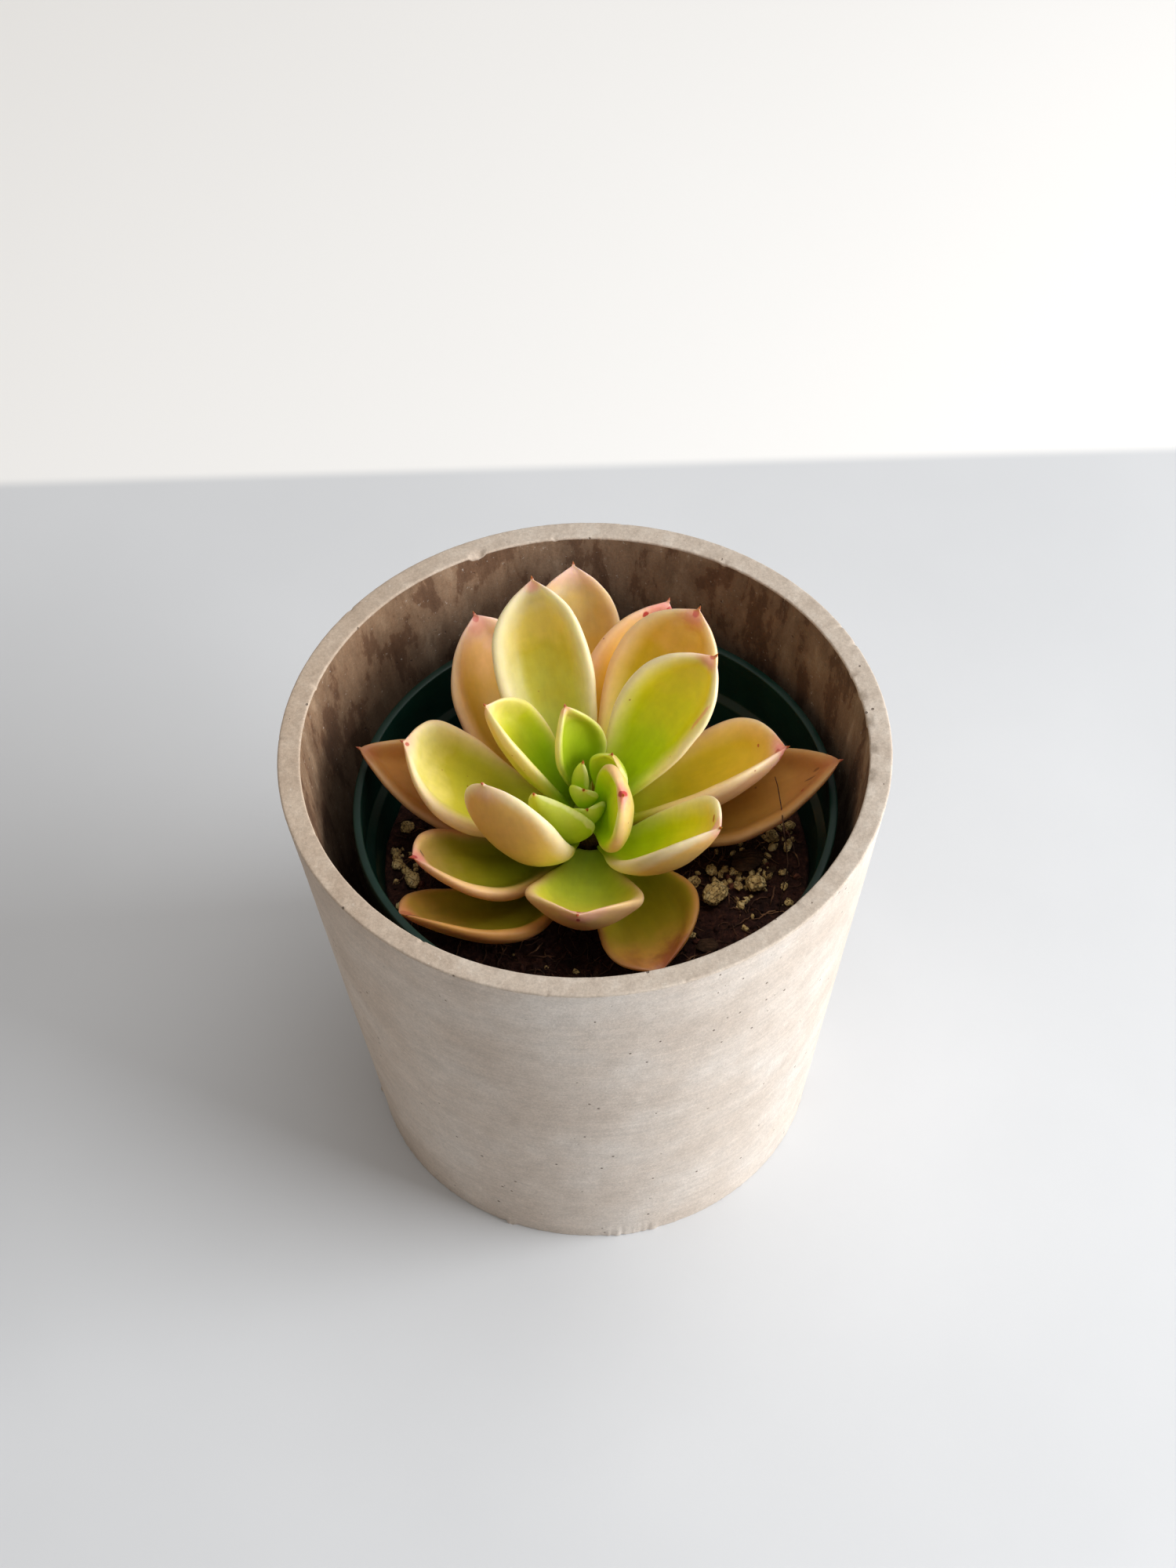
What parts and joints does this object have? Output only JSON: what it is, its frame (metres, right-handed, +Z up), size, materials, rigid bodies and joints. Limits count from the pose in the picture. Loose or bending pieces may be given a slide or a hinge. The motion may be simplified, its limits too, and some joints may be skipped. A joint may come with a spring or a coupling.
{
  "type": "potted rosette succulent",
  "caption": "Fleshy rosette succulent in a thin plastic nursery pot, standing inside a wide tapered stone-look outer pot with a flat rim.",
  "frame": {"origin": "centre of the outer pot's underside, where it stands", "axes": "+Z up the pot's axis; +X to the right and +Y to the back as seen from the front"},
  "size_m": [0.13, 0.13, 0.1276],
  "materials": {
    "stone_composite": "matte, finely speckled, brushed round",
    "green_plastic": "satin, very dark green",
    "soil": "rough damp peat",
    "stem": "dull, fibrous",
    "leaf": "smooth and waxy, green hearts with cream and pink margins",
    "pumice": "rough, pitted",
    "bark": "rough"
  },
  "bodies": {
    "root": {"bark_1": "bark", "bark_2": "bark", "bark_3": "bark", "bark_4": "bark", "leaf_front_left_low": "leaf", "leaf_front_left_lowest": "leaf", "leaf_front_low": "leaf", "leaf_front_right_lowest": "leaf", "leaf_heart_front": "leaf", "leaf_heart_left": "leaf", "leaf_heart_low": "leaf", "leaf_heart_right": "leaf", "leaf_inner_back": "leaf", "leaf_inner_front_left": "leaf", "leaf_inner_front_right": "leaf", "leaf_mid_back_left": "leaf", "leaf_mid_back_right": "leaf", "leaf_mid_front_right": "leaf", "leaf_mid_left": "leaf", "leaf_mid_right": "leaf", "leaf_outer_back": "leaf", "leaf_outer_back_left": "leaf", "leaf_outer_back_right": "leaf", "leaf_outer_left": "leaf", "leaf_outer_right": "leaf", "leaf_upper_back_right": "leaf", "leaf_upper_front_left": "leaf", "leaf_upper_left": "leaf", "nursery_pot": "green_plastic", "outer_pot": "stone_composite", "pumice_1": "pumice", "pumice_10": "pumice", "pumice_11": "pumice", "pumice_12": "pumice", "pumice_13": "pumice", "pumice_2": "pumice", "pumice_3": "pumice", "pumice_4": "pumice", "pumice_5": "pumice", "pumice_6": "pumice", "pumice_7": "pumice", "pumice_8": "pumice", "pumice_9": "pumice", "soil": "soil", "stem": "stem"}
  },
  "joints": []
}
